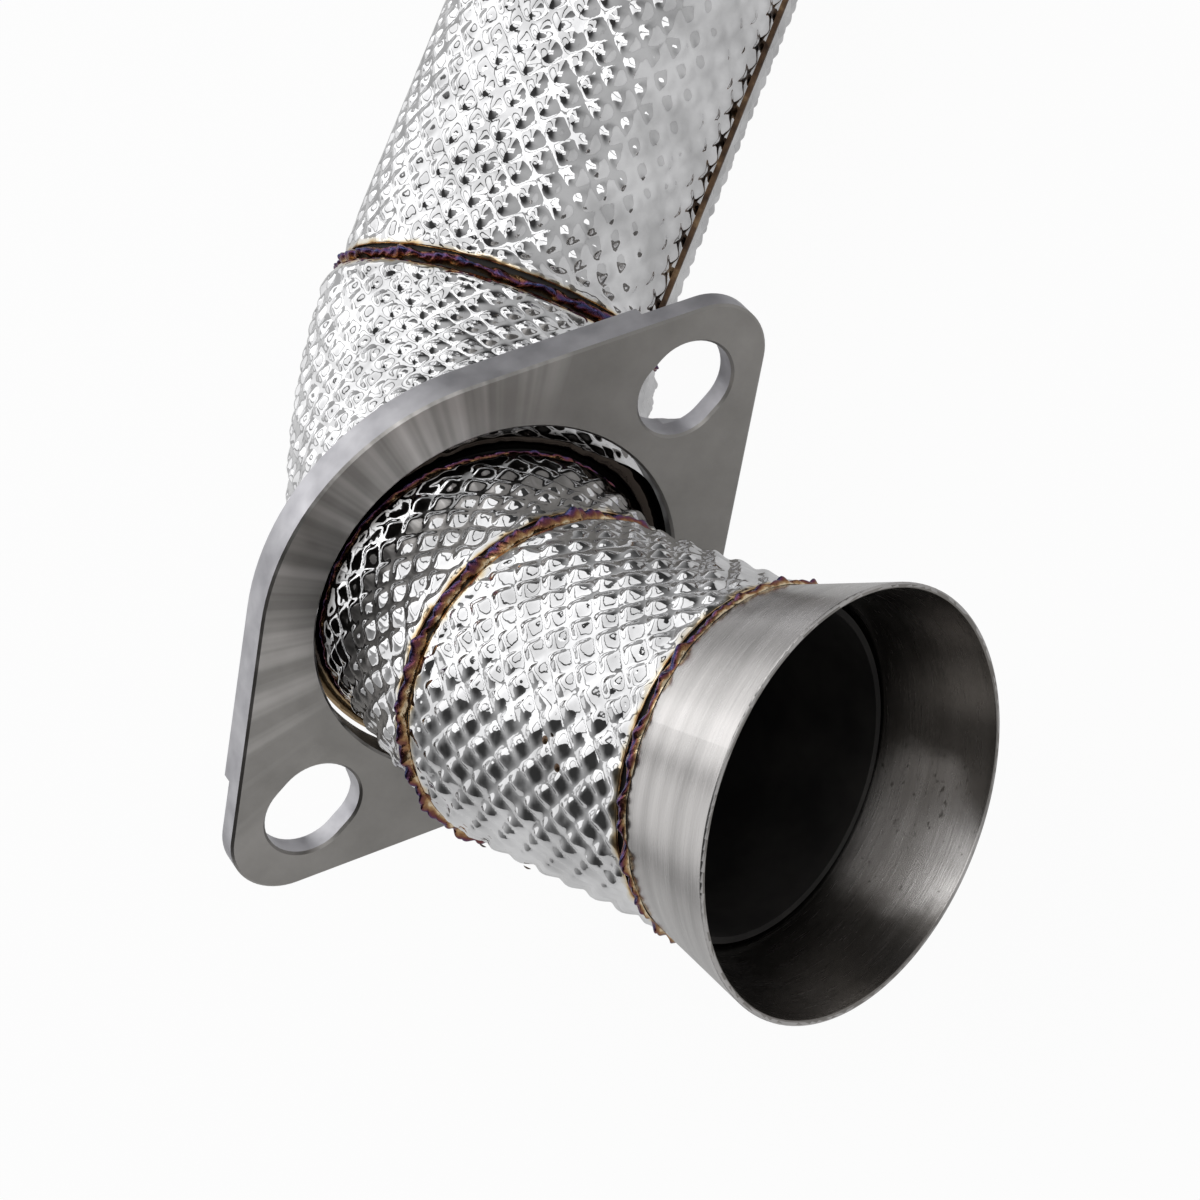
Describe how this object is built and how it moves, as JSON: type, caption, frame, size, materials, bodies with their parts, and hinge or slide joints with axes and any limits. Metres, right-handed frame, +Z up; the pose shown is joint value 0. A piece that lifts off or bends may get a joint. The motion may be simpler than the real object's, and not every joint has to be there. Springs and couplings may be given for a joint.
{
  "type": "exhaust downpipe",
  "caption": "Heat-shielded exhaust downpipe with an angled flared outlet, a loose two-bolt flange on its neck, a bend and a straight run to its inlet ring.",
  "frame": {"origin": "centre of the loose flange's bore, in the plane of its front face", "axes": "+X is the loose flange's normal, towards the flared outlet; +Z is up from the table that the part lies on; +Y completes the right-handed frame, towards the bend's inner side"},
  "size_m": [0.3069, 0.2798, 0.1166],
  "materials": {
    "stainless": "brushed bare stainless steel",
    "satin_stainless": "satin rolled stainless steel plate, lighter cut edges",
    "dimpled_foil": "bright stainless foil embossed with close dimples",
    "tinted_weld": "weld bead with purple, blue and gold heat tint"
  },
  "bodies": {
    "pipe": {"flare_cone": "stainless", "flare_weld": "tinted_weld", "outlet_tube": "stainless", "outlet_shield": "dimpled_foil", "elbow_weld": "tinted_weld", "neck_tube": "stainless", "neck_shield": "dimpled_foil", "collar_weld": "tinted_weld", "bend_tube": "stainless", "bend_shield": "dimpled_foil", "bend_weld": "tinted_weld", "run_tube": "stainless", "run_shield": "dimpled_foil", "run_seam": "tinted_weld", "inlet_ring": "satin_stainless", "inlet_weld": "tinted_weld", "foil_tack_1": "tinted_weld", "foil_tack_2": "tinted_weld", "foil_tack_3": "tinted_weld", "foil_tack_4": "tinted_weld"},
    "flange": {"loose_flange": "satin_stainless"}
  },
  "joints": [
    {"name": "flange_swivel", "type": "hinge", "parent": "pipe", "child": "flange", "pos_m": [0, 0, 0], "axis": [1, 0, 0], "continuous": true}
  ]
}
